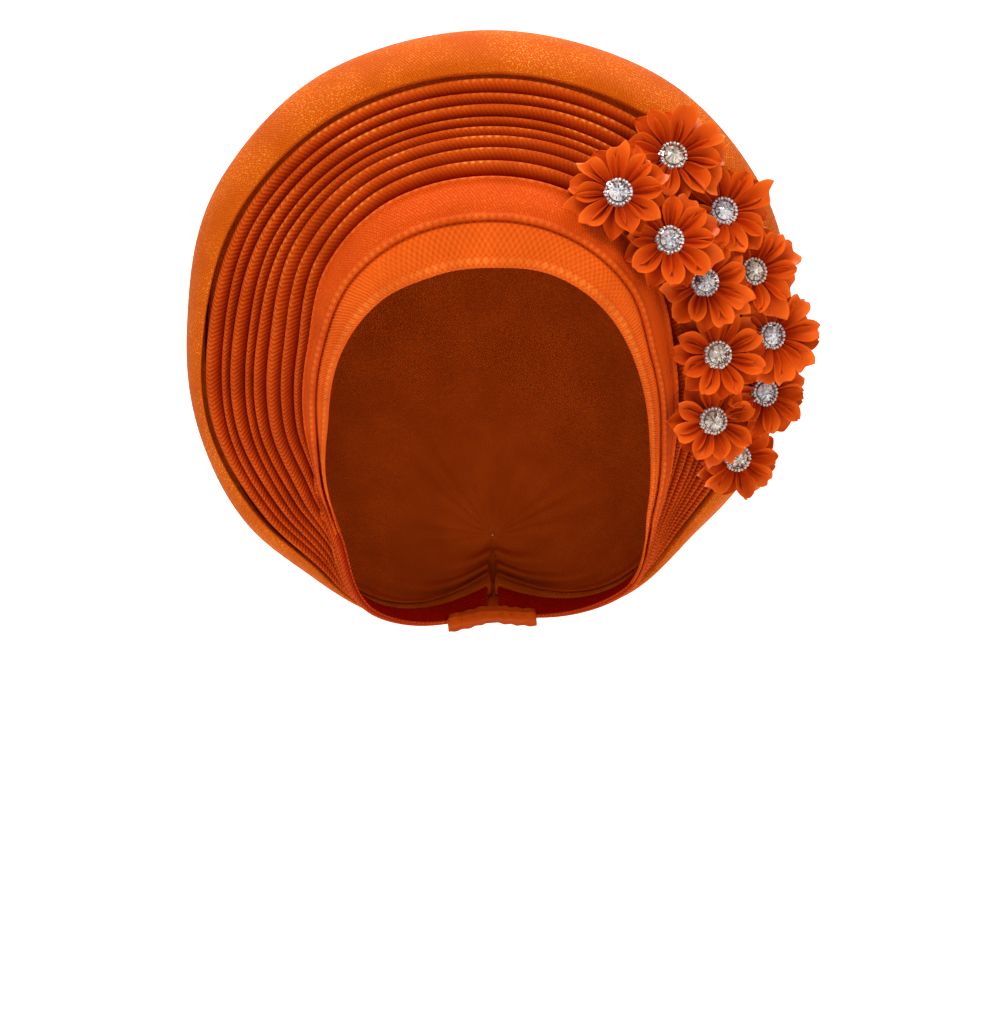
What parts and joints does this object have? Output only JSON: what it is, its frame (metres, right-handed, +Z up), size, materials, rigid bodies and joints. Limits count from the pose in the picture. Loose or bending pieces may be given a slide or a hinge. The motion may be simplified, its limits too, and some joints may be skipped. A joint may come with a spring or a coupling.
{
  "type": "tied gele head tie",
  "caption": "Tied orange gele head tie with two forehead bands, a pleated fan, a broad rolled rim, a plain gathered back and satin flowers with stone brooches.",
  "frame": {"origin": "middle of the head at the height of the brow, where the wrap is held as a head holds a hat", "axes": "+X toward the wearer's left, +Y to the back of the head, +Z up the head; the face opens toward -Y"},
  "size_m": [0.286, 0.196, 0.2755],
  "materials": {
    "orange_band_cloth": "stiff woven cloth with a fine diamond twill and gold thread along the hem",
    "red_orange_band_cloth": "stiff woven cloth, plainer and redder, with a gold beaded edge",
    "orange_pleated_cloth": "stiff woven cloth in narrow pleats with gold thread in chevrons",
    "gold_shot_rim_cloth": "stiff woven cloth shot with gold thread, padded and rolled",
    "orange_back_cloth": "stiff woven cloth, plain side, matt",
    "orange_nape_cloth": "stiff woven cloth folded in a strip, matt",
    "orange_satin_ribbon": "glossy satin ribbon folded in petals",
    "silver_setting_and_stone": "bright silver-coloured setting with a clear cut stone"
  },
  "bodies": {
    "root": {"forehead_band": "orange_band_cloth", "upper_band": "red_orange_band_cloth", "pleated_fan": "orange_pleated_cloth", "outer_rim": "gold_shot_rim_cloth", "back_drape": "orange_back_cloth", "nape_wrap": "orange_nape_cloth", "flower_01": "orange_satin_ribbon", "flower_02": "orange_satin_ribbon", "flower_03": "orange_satin_ribbon", "flower_04": "orange_satin_ribbon", "flower_05": "orange_satin_ribbon", "flower_06": "orange_satin_ribbon", "flower_07": "orange_satin_ribbon", "flower_08": "orange_satin_ribbon", "flower_09": "orange_satin_ribbon", "flower_10": "orange_satin_ribbon", "flower_11": "orange_satin_ribbon", "brooch_01": "silver_setting_and_stone", "brooch_02": "silver_setting_and_stone", "brooch_03": "silver_setting_and_stone", "brooch_04": "silver_setting_and_stone", "brooch_05": "silver_setting_and_stone", "brooch_06": "silver_setting_and_stone", "brooch_07": "silver_setting_and_stone", "brooch_08": "silver_setting_and_stone", "brooch_09": "silver_setting_and_stone", "brooch_10": "silver_setting_and_stone", "brooch_11": "silver_setting_and_stone"}
  },
  "joints": []
}
